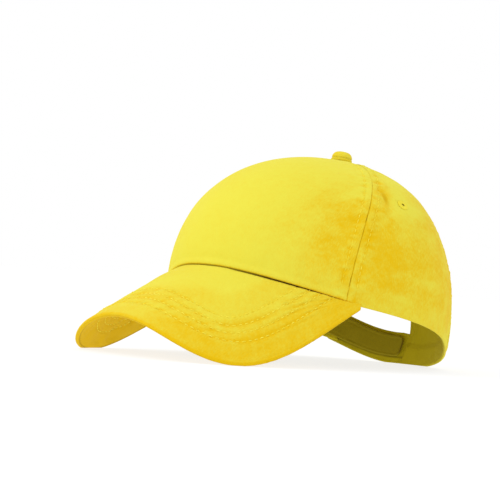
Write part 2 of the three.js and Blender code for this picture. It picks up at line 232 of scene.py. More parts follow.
def height_under_peak(angle):
    plan = rim_plan(angle)
    return peak_height(plan[..., 0], plan[..., 1])


def rim_height_behind(side, rows):
    """Height of the rim from the peak's end to the back, at small steps of its turn."""
    turns = np.linspace(PEAK_END_AT, 180, 800)
    end, before = (
        float(height_under_peak(side * at)) for at in (PEAK_END_AT, PEAK_END_AT - FINE_STEP)
    )
    left_end = float(height_under_peak(PEAK_END_AT))
    places = [PEAK_END_AT] + [at for at, _ in rows]
    values = [end] + [left_end - drop * RIM_SIDE for _, drop in rows]
    slopes = [(end - before) / FINE_STEP]
    for i in range(1, len(places) - 1):
        slopes.append((values[i + 1] - values[i - 1]) / (places[i + 1] - places[i - 1]))
    slopes.append(0.0)
    heights = np.zeros_like(turns)
    for i in range(len(places) - 1):
        span = places[i + 1] - places[i]
        inside = (turns >= places[i]) & (turns <= places[i + 1] + 1e-9)
        t = (turns[inside] - places[i]) / span
        heights[inside] = (
            values[i] * (1 + 2 * t) * (1 - t) ** 2
            + values[i + 1] * t * t * (3 - 2 * t)
            + slopes[i] * span * t * (1 - t) ** 2
            - slopes[i + 1] * span * t * t * (1 - t)
        )
    return turns, heights


BEHIND_LEFT = rim_height_behind(1, RIM_HEIGHTS_LEFT)
BEHIND_RIGHT = rim_height_behind(-1, RIM_HEIGHTS_RIGHT)


def rim_height(angle):
    turn = turn_from_front(np.asarray(angle, float))
    behind = np.where(
        turn >= 0, np.interp(np.abs(turn), *BEHIND_LEFT), np.interp(np.abs(turn), *BEHIND_RIGHT)
    )
    return np.where(np.abs(turn) <= PEAK_END_AT, height_under_peak(turn), behind)


def dent_depth(angle, rise):
    total = 0.0
    for at, height, wide, tall, depth in DENTS:
        across, up = np.radians(turn_from_front(angle - at)) / wide, (rise - height) / tall
        total = total + depth * RIM_SIDE * np.exp(-(across ** 2 + up ** 2) / 2)
    return total


def crown_point(angle, turn):
    rim, base = rim_plan(angle), rim_height(angle)
    power = 2 / round_the_head(angle, RISES)
    closing = np.maximum(np.cos(np.radians(turn)), 0) ** power
    rising = np.maximum(np.sin(np.radians(turn)), 0) ** power
    bulge = round_the_head(angle, BULGES) * RIM_SIDE - dent_depth(angle, rising)
    outward = bulge * np.sin(2 * np.radians(turn)) / length_of(rim)
    return np.stack(
        [
            rim[..., 0] * (closing + outward),
            -CROWN_TOP_FORWARD * (1 - closing) + rim[..., 1] * (closing + outward),
            base + (CROWN_HEIGHT - base) * rising,
        ],
        -1,
    )


def crown_normal(angle, turn):
    low = np.clip(turn, 0, 88)
    across = crown_point(angle + SLOPE_STEP, low) - crown_point(angle - SLOPE_STEP, low)
    up = crown_point(angle, low + SLOPE_STEP) - crown_point(angle, low)
    return unit(np.cross(across, up))


def turn_at_height(angle, height):
    power = 2 / round_the_head(angle, RISES)
    share = np.clip(height / (CROWN_HEIGHT - rim_height(angle)), 0, 1)
    return np.degrees(np.arcsin(share ** (1 / power)))


def turn_at_radius(angle, radius):
    low, high = np.zeros_like(angle), np.full_like(angle, 90.0)
    for _ in range(30):
        middle = (low + high) / 2
        point = crown_point(angle, middle)
        outside = np.hypot(point[..., 0], point[..., 1] + CROWN_TOP_FORWARD) > radius
        low, high = np.where(outside, middle, low), np.where(outside, high, middle)
    return low


def seam_angle(seam, turn):
    at, swing = seam
    return at + swing * np.sin(np.radians(turn)) ** 2


def rim_normal(angle):
    along = rim_plan(angle + SLOPE_STEP) - rim_plan(angle - SLOPE_STEP)
    along = along / length_of(along)[..., None]
    return np.stack([along[..., 1], -along[..., 0]], -1)


# Shape of the peak
def peak_outline(share):
    side = np.where(share < 0, -1, 1)
    end = rim_plan(side * PEAK_END_AT)
    across, ahead = np.abs(np.sin(share * math.pi / 2)), np.abs(np.cos(share * math.pi / 2))
    size = (across ** PEAK_SQUARENESS + ahead ** PEAK_SQUARENESS) ** (1 / PEAK_SQUARENESS)
    ease = (1 - ahead / size) ** PEAK_END_EASE
    x = lerp(side * PEAK_HALF_WIDTH * across / size, end[..., 0], ease)
    y = end[..., 1] - (RIM_FRONT + PEAK_LENGTH + end[..., 1]) * ahead / size
    return np.stack([x, y], -1)


def peak_plan(u, v):
    share = 2 * u - 1
    angle = share * PEAK_END_AT
    inner = rim_plan(angle) - rim_normal(angle) * PEAK_TUCK
    widening = (PEAK_END_WIDTH * np.abs(share) ** PEAK_END_TAPER)[..., None]
    outer = peak_outline(share) + rim_normal(angle) * widening
    return lerp(inner, outer, v[..., None])


def peak_face(plan):
    """Point of the peak's middle layer and the direction square to it."""
    x, y = plan[..., 0], plan[..., 1]
    slope_x = (peak_height(x + SLOPE_STEP, y) - peak_height(x - SLOPE_STEP, y)) / (2 * SLOPE_STEP)
    slope_y = np.full_like(x, math.tan(math.radians(PEAK_SLOPE)))
    up = unit(np.stack([-slope_x, -slope_y, np.ones_like(x)], -1))
    return np.stack([x, y, peak_height(x, y)], -1), up


# How the cap tips until its peak and the back of its rim touch the floor
def turned(points, pitch):
    points = np.asarray(points, float)
    y = points[..., 1] * math.cos(pitch) - points[..., 2] * math.sin(pitch)
    z = points[..., 1] * math.sin(pitch) + points[..., 2] * math.cos(pitch)
    return np.stack([points[..., 0], y, z], -1)


def find_rest():
    edge = peak_outline(np.linspace(0, 1, 91))
    peak = np.stack([edge[:, 0], edge[:, 1], peak_height(edge[:, 0], edge[:, 1])], -1)
    peak[:, 2] -= PEAK_THICKNESS / 2
    back = crown_point(np.linspace(90, 270, 91), np.zeros(91))
    low, high = math.radians(-30), math.radians(30)
    for _ in range(50):
        middle = (low + high) / 2
        if turned(back, middle)[:, 2].min() > turned(peak, middle)[:, 2].min():
            high = middle
        else:
            low = middle
    return low, turned(back, low)[:, 2].min() + REST_PRESS


PITCH, FLOOR = find_rest()


def resting(points):
    """Millimetres of the resting cap, pressed flat where it would go below the floor."""
    placed = turned(points, PITCH)
    placed[..., 2] = np.maximum(placed[..., 2] - FLOOR, 0)
    return placed


def find_shift():
    """What moves the origin to the middle of the part's box, read off the peak's front."""
    u, v = np.meshgrid(np.linspace(0, 1, 37), np.ones(1))
    middle, up = peak_face(peak_plan(u, v))
    both = np.concatenate([middle + up * PEAK_THICKNESS / 2, middle - up * PEAK_THICKNESS / 2])
    own = resting(both).reshape(-1, 3).min(0)
    low = np.array(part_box("peak")[0]) / MM
    return np.array([low[0] - own[0], low[1] - own[1], 0.0])


SHIFT = find_shift()


def placed(points):
    return (resting(points) + SHIFT) * MM


# Meshes
def add_mesh(name, points, faces, material, node=None, fields=None):
    mesh = bpy.data.meshes.new(name)
    mesh.from_pydata(points.tolist(), [], faces)
    mesh.update()
    for field, values in (fields or {}).items():
        values = np.asarray(values, np.float32)
        kind = "FLOAT_VECTOR" if values.ndim == 2 else "FLOAT"
        attribute = mesh.attributes.new(field, kind, "POINT")
        attribute.data.foreach_set("vector" if values.ndim == 2 else "value", values.ravel())
    mesh.polygons.foreach_set("use_smooth", [True] * len(mesh.polygons))
    mesh.materials.append(material)
    piece = bpy.data.objects.new(name, mesh)
    bpy.context.scene.collection.objects.link(piece)
    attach(piece, "root")
    if node:
        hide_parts(node)


def sheet_faces(rows, columns):
    """Faces of a closed sheet whose outer grid comes first and whose inner grid follows."""
    index = np.arange(rows * columns).reshape(rows, columns)
    under = index + rows * columns
    a, b, c, d = index[:-1, :-1], index[:-1, 1:], index[1:, 1:], index[1:, :-1]
    faces = [np.stack([a, b, c, d], -1).reshape(-1, 4)]
    a, b, c, d = (part + rows * columns for part in (a, b, c, d))
    faces.append(np.stack([a, d, c, b], -1).reshape(-1, 4))
    borders = (
        (index[0, :], under[0, :], False),
        (index[-1, :], under[-1, :], True),
        (index[:, 0], under[:, 0], True),
        (index[:, -1], under[:, -1], False),
    )
    for top, bottom, flip in borders:
        quads = np.stack([top[:-1], bottom[:-1], bottom[1:], top[1:]], -1)
        faces.append(quads[:, ::-1] if flip else quads)
    return np.concatenate(faces).tolist()


def sheet(name, outer, inner, material, node, fields):
    rows, columns = outer.shape[:2]
    points = np.concatenate([placed(outer).reshape(-1, 3), placed(inner).reshape(-1, 3)])
    both = {}
    for field, (front, back) in fields.items():
        size = (-1, 3) if front.ndim == 3 else (-1,)
        both[field] = np.concatenate([front.reshape(size), back.reshape(size)])
    add_mesh(name, points, sheet_faces(rows, columns), material, node, both)


def along_rows(points):
    steps = length_of(np.diff(points, axis=1))
    return np.concatenate([np.zeros((len(points), 1)), np.cumsum(steps, 1)], 1)


def along_columns(points):
    steps = length_of(np.diff(points, axis=0))
    return np.concatenate([np.zeros((1, points.shape[1])), np.cumsum(steps, 0)], 0)


def rolled(distance, radius):
    """How far a folded edge has curled away from its face."""
    reach = np.clip(1 - distance / radius, 0, 0.96)
    return radius * (1 - np.sqrt(1 - reach ** 2))


def edge_spaced(width, count, edge):
    """Shares across rows of a given width, with close steps at both edges."""
    steps = np.array([0.0, 0.1, 0.35, 0.75, 1.2]) * edge
    squeeze = np.minimum(1, width / (6 * steps[-1]))[:, None]
    start = steps[None, :] * squeeze
    room = width[:, None] - 2 * start[:, -1:]
    inside = start[:, -1:] + room * np.linspace(0, 1, count)[None, 1:-1]
    return np.concatenate([start, inside, (width[:, None] - start)[:, ::-1]], 1) / width[:, None]


# Threads
def stitches(name, lines, material, length=2.6, gap=1.1, radius=0.22, lift=0.1):
    """Dashes of thread along lines, each given by its points and the ways square to the cloth."""
    rings, sides = 5, 6
    stations = np.linspace(0, 1, rings)
    girth = np.array([0.45, 0.95, 1.0, 0.95, 0.45]) * radius
    swing = np.arange(sides) / sides * 2 * math.pi
    points, faces = [], []
    base = 0
    for line, normals in lines:
        steps = length_of(np.diff(line, axis=0))
        way = np.concatenate([[0], np.cumsum(steps)])
        count = int((way[-1] - length) // (length + gap))
        if count < 1:
            continue
        starts = 0.5 * gap + np.arange(count + 1) * (length + gap)
        starts = starts[starts + length < way[-1]]
        at = starts[:, None] + stations[None, :] * length
        centre = np.stack([np.interp(at, way, line[:, k]) for k in range(3)], -1)
        up = unit(np.stack([np.interp(at, way, normals[:, k]) for k in range(3)], -1))
        ahead = unit(np.gradient(centre, axis=1))
        across = unit(np.cross(ahead, up))
        rise = lift * (np.sin(stations * math.pi) * 2 - 0.7)
        centre = centre + up * rise[None, :, None]
        ring = (
            across[:, :, None, :] * np.cos(swing)[None, None, :, None]
            + up[:, :, None, :] * np.sin(swing)[None, None, :, None]
        ) * girth[None, :, None, None]
        ring = centre[:, :, None, :] + ring
        each = rings * sides
        points.append(ring.reshape(-1, 3))
        one = []
        for r in range(rings - 1):
            for s in range(sides):
                n = (s + 1) % sides
                one.append((r * sides + s, r * sides + n, (r + 1) * sides + n, (r + 1) * sides + s))
        one = np.array(one)
        caps = [list(range(sides))[::-1], list(range(each - sides, each))]
        for k in range(len(starts)):
            faces.extend((one + base + k * each).tolist())
            faces.extend([[i + base + k * each for i in cap] for cap in caps])
        base += each * len(starts)
    points = np.concatenate(points)
    add_mesh(name, placed(points), faces, material)


def row_at(values, wanted, points, normals):
    """Line through a grid where a field that grows along each row reaches a value."""
    line, square = [], []
    for i in range(len(values)):
        if values[i].max() < wanted or values[i].min() > wanted:
            continue
        line.append([np.interp(wanted, values[i], points[i, :, k]) for k in range(3)])
        square.append([np.interp(wanted, values[i], normals[i, :, k]) for k in range(3)])
    return np.array(line), np.array(square)


# Finishes
class Value:
    """A shader socket on which arithmetic adds Math nodes."""

    def __init__(self, finish, socket):
        self.finish = finish
        self.socket = socket

    def _math(self, operation, *values):
        return self.finish.node("ShaderNodeMath", {"operation": operation}, dict(enumerate(values)))

    def __add__(self, other):
        return self._math("ADD", self, other)

    def __radd__(self, other):
        return self._math("ADD", other, self)

    def __sub__(self, other):
        return self._math("SUBTRACT", self, other)

    def __rsub__(self, other):
        return self._math("SUBTRACT", other, self)

    def __mul__(self, other):
        return self._math("MULTIPLY", self, other)

    def __rmul__(self, other):
        return self._math("MULTIPLY", other, self)

    def __truediv__(self, other):
        return self._math("DIVIDE", self, other)

    def __pow__(self, other):
        return self._math("POWER", self, other)

    def sine(self):
        return self._math("SINE", self)

    def clipped(self):
        return self.finish.node("ShaderNodeClamp", {}, {"Value": self})

    def between(self, low, high):
        """0 below low, 1 above high and smooth between them."""
        return self.finish.node(
            "ShaderNodeMapRange",
            {"interpolation_type": "SMOOTHSTEP"},
            {"Value": self, "From Min": low, "From Max": high},
        )


class Finish:
    """One material and the few ways in which its nodes are added."""

    def __init__(self, name, roughness, sheen=0.0, specular=0.25):
        self.material = bpy.data.materials.new(name)
        self.material.use_nodes = True
        self.tree = self.material.node_tree
        self.tree.nodes.clear()
        self.shader = self.tree.nodes.new("ShaderNodeBsdfPrincipled")
        end = self.tree.nodes.new("ShaderNodeOutputMaterial")
        self.tree.links.new(self.shader.outputs["BSDF"], end.inputs["Surface"])
        self.shader.inputs["Roughness"].default_value = roughness
        self.shader.inputs["Sheen Weight"].default_value = sheen
        self.shader.inputs["Sheen Roughness"].default_value = 0.5
        self.shader.inputs["Sheen Tint"].default_value = (1.0, 0.88, 0.2, 1.0)
        self.shader.inputs["Specular IOR Level"].default_value = specular

    def node(self, kind, settings, sockets, output=0):
        made = self.tree.nodes.new(kind)
        for name, value in settings.items():
            setattr(made, name, value)
        for name, value in sockets.items():
            self.feed(made.inputs[name], value)
        return Value(self, made.outputs[output])

    def feed(self, socket, value):
        if isinstance(value, Value):
            self.tree.links.new(value.socket, socket)
        else:
            socket.default_value = value

    def field(self, name, output="Fac"):
        return self.node("ShaderNodeAttribute", {"attribute_name": name}, {}, output)

    def cloth(self):
        """Place on the cloth in millimetres: across and up."""
        at = self.field("cloth", "Vector")
        split = self.tree.nodes.new("ShaderNodeSeparateXYZ")
        self.tree.links.new(at.socket, split.inputs[0])
        return Value(self, split.outputs[0]), Value(self, split.outputs[1]), at

    def noise(self, at, scale, detail=2.0, roughness=0.5, stretch=None):
        if stretch:
            at = self.node("ShaderNodeVectorMath", {"operation": "MULTIPLY"}, {0: at, 1: stretch})
        return self.node(
            "ShaderNodeTexNoise",
            {},
            {"Vector": at, "Scale": scale, "Detail": detail, "Roughness": roughness},
        )

    def mix(self, share, low, high):
        made = self.tree.nodes.new("ShaderNodeMix")
        made.data_type = "RGBA"
        for place, value in ((0, share), (6, low), (7, high)):
            if isinstance(value, tuple):
                value = (*value, 1.0)
            self.feed(made.inputs[place], value)
        return Value(self, made.outputs[2])

    def bump(self, height, distance, strength=1.0):
        return self.node(
            "ShaderNodeBump", {}, {"Height": height, "Distance": distance, "Strength": strength}
        )

    def paint(self, **sockets):
        for name, value in sockets.items():
            name = name.replace("_", " ")
            if isinstance(value, tuple):
                value = (*value, 1.0)
            self.feed(self.shader.inputs[name], value)
        return self.material


def twill(name, lit, painted_shade, inside_shade, weave=0.8, calm=1.0, gap=(0.07, 0.035, 0.0)):
    """Brushed cotton twill: diagonal ribs, slubs and soft mottling, with golden painted shade and
    dark painted shadow in folds.
    """
    finish = Finish(name, 0.86, sheen=0.1, specular=0.15)
    across, up, at = finish.cloth()
    wander = finish.noise(at, 0.35)
    ribs = ((across + up + wander * 0.6) * (2 * math.pi / weave)).sine()
    picks = ((across - up * 0.4) * (2 * math.pi / (weave * 0.9))).sine()
    slubs = finish.noise(at, 1.3, detail=3.0, stretch=(1.0, 0.35, 1.0))
    fuzz = finish.noise(at, 2.2)
    clouds = finish.noise(at, 0.05, detail=4.0, roughness=0.6)
    mottle = finish.noise(at, 0.22, detail=3.0, roughness=0.6)
    painted_shade_and_tone, painted_crest_light = finish.field("painted_shade_and_tone"), finish.field("painted_crest_light")
    height = ribs * 0.12 + picks * 0.06 + slubs * 1.2 + fuzz * 0.5
    spread = (clouds - 0.5) * 0.9 + (mottle - 0.5) * 1.3 + (slubs - 0.5) * 1.4 + (fuzz - 0.5) * 0.7
    # Painted light and shade: the colour runs from the lit tone to the painted shade tone with the
    # painted shade field, less on painted crest light, plus random tone
    depth = painted_shade_and_tone * 0.95 - painted_crest_light * 0.45 + ribs * 0.06 + spread * (0.5 + painted_shade_and_tone.clipped() * 0.6) * calm
    colour = finish.mix(depth.between(-0.3, 1.7), lit, painted_shade)
    # Painted shade: inner faces, where the inside attribute is 1, take the darker, greener tone of
    # the shade inside the cap
    colour = finish.mix(finish.field("inside"), colour, inside_shade)
    # Painted shadow: the fold attribute darkens gaps, seams, creases, edges and holes towards the
    # near-black gap colour
    colour = finish.mix(finish.field("fold").clipped(), colour, gap)
    normal = finish.bump(height, 0.00012)
    return finish.paint(Base_Color=colour, Roughness=0.78 + slubs * 0.16, Normal=normal)


# Lit and painted-shade copies of one yellow twill; the shaded tone is painted shade
LEMON_LIT = (0.78, 0.715, 0.062)
GOLD_SHADE = (0.78, 0.50, 0.0)
# Painted shade of the cap's hollow, for the inner faces
INSIDE_SHADE = (0.465, 0.38, 0.004)
CROWN = twill("crown_twill", LEMON_LIT, GOLD_SHADE, INSIDE_SHADE)
PEAK = twill("peak_twill", LEMON_LIT, GOLD_SHADE, INSIDE_SHADE, calm=0.7)
# Strap and hook tape: lit tone, painted shade tone and the painted shade tone of their inner faces
STRAP = twill("strap_twill", (0.77, 0.69, 0.05), (0.77, 0.50, 0.004), (0.465, 0.385, 0.004))
TAPE = twill("hook_tape", (0.62, 0.50, 0.03), (0.54, 0.40, 0.018), (0.285, 0.225, 0.004), weave=1.1)


def thread_finish(name, colour, dark, gap):
    finish = Finish(name, 0.7, sheen=0.1, specular=0.15)
    at = finish.node("ShaderNodeTexCoord", {}, {}, "Object")
    twist = finish.noise(at, 2600.0)
    tone = finish.noise(at, 90.0)
    colour = finish.mix(tone.between(0.3, 0.7), dark, colour)
    # Painted shadow: the fold attribute darkens the thread towards the gap colour
    colour = finish.mix(finish.field("fold").clipped(), colour, gap)
    return finish.paint(Base_Color=colour, Normal=finish.bump(twist, 0.0001))


THREAD = thread_finish("thread_yellow", (0.94, 0.84, 0.09), (0.86, 0.70, 0.03), (0.03, 0.02, 0.0))
# The eyelet's gap colour is the painted shadow in its hole
EYELET_THREADS = thread_finish(
    "thread_eyelet", (0.84, 0.74, 0.05), (0.82, 0.66, 0.03), (0.14, 0.09, 0.0)
)


# Panels
SEAM_BAND = 4.2
STITCH_AT = 4.6
SEAM_INSET = -0.05
FOLD_FOOT = 0.4
PEAK_DIP = 1.2
PEAK_TUCK_DIP = 1.3
HEM_STEPS = (
    0.0, 0.12, 0.25, 0.38, 0.52, 0.66, 0.8, 0.95, 1.1, 1.3, 1.55, 1.85, 2.2, 2.7, 3.4, 4.3, 5.4, 6.7
)
PANEL_ROWS_RISE = 140.0
# Size of the painted shade clouds round the dents, as shares of each dent's size
CLOUD_WIDE = 1.35
CLOUD_TALL = 1.25
DEEPEST_DENT = max(depth for *_, depth in DENTS) * RIM_SIDE


def seam_relief(distance, along, seed):
    """Height of the cloth beside a seam: a raised band, a dip at the thread and waves."""
    band = 0.3 * (1 - smooth(SEAM_BAND, SEAM_BAND + 2.4, distance))
    dip = -0.35 * bell(distance - STITCH_AT, 0.75)
    wave = 0.4 * ripple(along / 6.0, distance / 11.0, seed + 1) * bell(distance - 6.0, 8.0)
    return band + dip + wave


def seam_pucker(distance, along, seed):
    """The cloth's small gathers between the seam and a little past its row of stitches."""
    gathers = ripple(along / 2.0, distance / 4.5, seed)
    gathers = gathers + 0.5 * ripple(along / 3.4, distance / 7.0, seed + 2)
    return gathers * bell(distance - STITCH_AT, 3.8)


def gap_height(angle):
    """How far the front fold stands off the peak: hardly on the right, plainly on the left."""
    turn = turn_from_front(angle)
    return lerp(0.0, 0.65, smooth(-5, 32, turn)) * (1 - 0.4 * smooth(56, 64, turn))


def hem_profile(height, angle, under):
    """Outer face above the rim: where the peak joins, a dark gap under a narrow rolled fold."""
    over = height - FOLD_FOOT - gap_height(angle)
    gap = -1.1 * (1 - smooth(-0.25, 0.15, over))
    fold = 0.6 * smooth(-0.2, 0.6, over) * (1 - smooth(1.6, 4.2, over))
    fold = fold - 0.2 * bell(over - 4.4, 1.2)
    return (gap + fold) * under


def painted_dent_shade(angle, rise):
    """Painted shade: the crown's colour is deeper in wide clouds round the dents."""
    total = 0.0
    for at, height, wide, tall, _ in DENTS:
        across = np.radians(turn_from_front(angle - at)) / (CLOUD_WIDE * wide)
        total = total + np.exp(-(across ** 2 + ((rise - height) / (CLOUD_TALL * tall)) ** 2) / 2)
    return total


def wall_at(height):
    """Wall of the crown: a hem turned in along the rim, its raw edge a small step inside."""
    return lerp(HEM_WALL, PANEL_WALL, smooth(HEM_HEIGHT - 1.5, HEM_HEIGHT + 0.5, height))


def eyelet_place(first, second, share):
    angle = np.array(lerp(seam_angle(first, EYELET_TURN), seam_angle(second, EYELET_TURN), share))
    turn = np.array(EYELET_TURN)
    return crown_point(angle, turn), crown_normal(angle, turn)


EYELETS = {
    "left": eyelet_place(SEAMS["front_left"], SEAMS["back_left"], EYELET_ACROSS),
    "right": eyelet_place(SEAMS["back_right"], SEAMS["front_right"], 1 - EYELET_ACROSS),
}


def build_panel(name, first, second, lower_edge, seed, calm, columns, rows, arch=None):
    """Mesh of one crown panel. Gives the lines of its rows of stitches."""
    steps = np.array(HEM_STEPS)
    tall = PANEL_ROWS_RISE
    main = np.linspace(steps[-1], tall - 1.5, rows)[1:]
    rise = np.concatenate([steps, main, [tall - 0.8, tall - 0.3, tall]]) / tall
    wide = np.linspace(0, 1, columns)
    u, v = np.meshgrid(wide, rise)

    def place(u, v):
        low_turn, low_share = lower_edge(u)
        top = turn_at_radius(lerp(first[0], second[0], u), TOP_HOLE_RADIUS)
        turn = lerp(low_turn, top, v)
        a, b = seam_angle(first, turn), seam_angle(second, turn)
        point = crown_point(lerp(a, b, u), turn)
        inset = np.degrees(SEAM_INSET / np.hypot(point[..., 0], point[..., 1] + CROWN_TOP_FORWARD))
        share = lerp(low_share, u, 1 - (1 - v) ** 3)
        return lerp(a + inset, b - inset, share), turn

    angle, turn = place(u, v)
    width = along_rows(crown_point(angle, turn))[:, -1]
    u = edge_spaced(width, columns - 8, 0.6)
    v = rise[:, None].repeat(u.shape[1], 1)
    angle, turn = place(u, v)

    face = crown_point(angle, turn)
    normal = crown_normal(angle, turn)
    across, up = along_rows(face), along_columns(face)
    turns = np.linspace(0, 90, 500)
    from_first = nearest(face, crown_point(seam_angle(first, turns), turns))
    from_second = nearest(face, crown_point(seam_angle(second, turns), turns))
    seam_side = np.minimum(from_first, from_second)
    above = face[..., 2] - rim_height(angle)
    at_edge = up if arch is None else np.minimum(nearest(face, arch), above)
    turn_out = np.abs(turn_from_front(angle))
    under = 1 - smooth(PEAK_END_AT - 3.5, PEAK_END_AT - 0.5, turn_out)

    soft = calm * (
        0.4 * ripple(across / 26, up / 30, seed + 5) * smooth(4, 22, at_edge)
        + 0.4 * ripple(across / 11, up / 16, seed + 6)
        + 0.18 * ripple(across / 4.5, up / 9, seed + 7)
    )
    creases = 0.4 * ripple(across / 4.2, up / 24, seed + 8) * bell(above - 4, 18)
    creases = creases * np.maximum(calm, smooth(10, 40, turn_from_front(angle)))
    relief = (soft + creases) * smooth(1.5, 9, seam_side) * lerp(1.0, 0.25, smooth(58, 92, up))
    detail = seam_relief(from_first, up, seed) + seam_relief(from_second, up, seed + 20)
    pucker = seam_pucker(from_first, up, seed) + seam_pucker(from_second, up, seed + 20)
    by_left_seam = lerp(0.5, 1.0, smooth(50, 20, np.abs(turn_from_front(angle - 60))))
    pucker = pucker * by_left_seam
    above_fold = smooth(-1, 3, at_edge) * lerp(1, smooth(3, 8, up), under)
    relief = (relief + detail * by_left_seam + 0.5 * pucker) * above_fold
    relief = relief + hem_profile(up, angle, under)
    relief = relief * smooth(88.5, 84, turn)
    for at, _ in EYELETS.values():
        relief = relief - 0.7 * (1 - smooth(2.2, 4.4, length_of(face - at)))

    wall = wall_at(above)
    weaker_up_the_crown = lerp(1.0, 0.25, smooth(62, 98, up))
    rising = np.sin(np.radians(turn))
    seam_curl = rolled(seam_side, 0.4) * weaker_up_the_crown
    edge_curl = rolled(at_edge, wall / 2) * (1 - under)
    outer = face + normal * (relief - np.maximum(seam_curl, edge_curl))[..., None]
    allowance = 0.6 * (1 - smooth(6.2, 7.0, seam_side)) * smooth(1.2, 2.2, seam_side)
    inner_fold = 0.3 * ripple(across / 9, up / 22, seed + 9) * smooth(2, 8, at_edge)
    inner_fold = inner_fold + 0.2 * ripple(across / 3.5, up / 18, seed + 10) * smooth(1, 5, at_edge)
    depth = wall + (allowance + inner_fold) * smooth(1.5, 4, at_edge) - edge_curl
    inner = face - normal * depth[..., None]

    middle = across[:, -1:] / 2
    cloth = np.stack([across - middle + seed * 37.0, up, np.zeros_like(up)], -1)
    # Painted shadow in the gap where the peak joins the crown, stronger towards the left
    over = up - FOLD_FOOT - gap_height(angle)
    darker = lerp(0.3, 1.0, smooth(2, 38, turn_from_front(angle)))
    painted_gap_shadow = darker * (1 - smooth(-0.2, 0.0, over)) * under
    # Painted crease shade of the tuck: a thin dark line and deeper gold, with no relief under it
    over_tuck = rising - TUCK_RISE
    painted_tuck_crease = bell(turn_from_front(angle - TUCK_AT) + 9 * over_tuck, 1.1) * bell(over_tuck, 0.035)
    # Painted shadow along the seam line, weaker up the crown
    painted_seam_shadow = 0.35 * (1 - smooth(0.0, 0.35, seam_side)) * weaker_up_the_crown
    # Painted shadow in the gap, along the seams and on the tuck, carried by the fold attribute
    fold = np.maximum(painted_gap_shadow, painted_seam_shadow) + 0.22 * painted_tuck_crease
    # Painted shade and random tone: deeper gold in and round the dents, towards the left, low on
    # the sides and just above the gap line where the peak joins
    panel_shade_and_tone = 0.6 * dent_depth(angle, rising) / DEEPEST_DENT + 0.75 * painted_dent_shade(angle, rising)
    panel_shade_and_tone = panel_shade_and_tone * lerp(0.6, 1.0, smooth(-10, 30, turn_from_front(angle)))
    panel_shade_and_tone = panel_shade_and_tone * (0.85 + 0.6 * ripple(across / 9, up / 8, seed + 11))
    panel_shade_and_tone = panel_shade_and_tone + 0.3 * ripple(across / 18, up / 14, seed + 12) * calm
    panel_shade_and_tone = panel_shade_and_tone + 0.2 * smooth(5, 60, turn_out) * (1 - smooth(0.5, 0.9, rising))
    # Painted shade: deeper gold along the seam line, weaker up the crown
    painted_seam_shade = 0.8 * (1 - smooth(0.1, 0.6, seam_side)) * weaker_up_the_crown
    panel_shade_and_tone = 1.3 * np.tanh(panel_shade_and_tone) + 1.2 * painted_tuck_crease + painted_seam_shade + 0.9 * bell(over, 0.9) * under
    # Painted light on the pucker crests, painted shade in their hollows and along the stitch rows
    painted_crest_light = 1.1 * pucker - 0.7 * bell(seam_side - STITCH_AT, 0.8)
    flat = np.zeros_like(up)
    fields = {
        "cloth": (cloth, cloth + 500.0),
        "fold": (fold, flat),
        "painted_shade_and_tone": (panel_shade_and_tone, flat),
        "painted_crest_light": (painted_crest_light, flat),
        # the inner faces get the painted shade of the hollow
        "inside": (flat, flat + 1),
    }
    sheet(name + "_cloth", outer, inner, CROWN, name, fields)
    lines = []
    roomy = (width > 2 * STITCH_AT + 3) & (rise * tall > (8 if under.max() > 0.5 else 2))
    for flip, field in ((False, from_first), (True, from_second)):
        way = slice(None, None, -1) if flip else slice(None)
        growing = np.maximum.accumulate(field[:, way], 1)
        lines.append(row_at(growing[roomy], STITCH_AT, outer[:, way][roomy], normal[:, way][roomy]))
    return lines


def rim_edge(u):
    return np.zeros_like(u), u


def strap_angle(distance):
    return np.degrees(distance / float(length_of(rim_plan(OPENING_AT))))


def opening_half_angle(height):
    up = np.clip(height / OPENING_SHOULDER, 0, 1)
    beside = lerp(OPENING_FOOT_WIDTH, OPENING_WIDTH, np.sin(up * math.pi / 2))
    over = np.clip((height - OPENING_SHOULDER) / (OPENING_WIDTH / 2), 0, 1)
    return strap_angle(beside / 2 * np.sqrt(1 - over ** 2))


def opening_edge(side, height):
    turn = turn_at_height(OPENING_AT, height)
    return seam_angle(SEAMS["back"], turn) + side * opening_half_angle(height)


def arch_edge(first, second):
    side = -1 if second == SEAMS["back"] else 1
    start = first[0] if side < 0 else second[0]
    arc = OPENING_WIDTH / 4 * math.pi

    def edge(u):
        way = u if side < 0 else 1 - u
        along = np.clip((way - RIM_SHARE) / (1 - RIM_SHARE), 0, 1) * (OPENING_SHOULDER + arc)
        bend = np.clip((along - OPENING_SHOULDER) / arc, 0, 1)
        height = np.where(
            along < OPENING_SHOULDER,
            along,
            OPENING_SHOULDER + OPENING_WIDTH / 2 * np.sin(bend * math.pi / 2),
        )
        turn = turn_at_height(OPENING_AT, height)
        on_rim = lerp(start, float(opening_edge(side, 0.0)), way / RIM_SHARE)
        angle = np.where(way > RIM_SHARE, opening_edge(side, height), on_rim)
        a, b = seam_angle(first, turn), seam_angle(second, turn)
        return turn, np.clip((angle - a) / (b - a), 0, 1)

    return edge


def arch_line(side):
    heights = np.linspace(0, OPENING_HEIGHT, 400)
    return crown_point(opening_edge(side, heights), turn_at_height(OPENING_AT, heights))


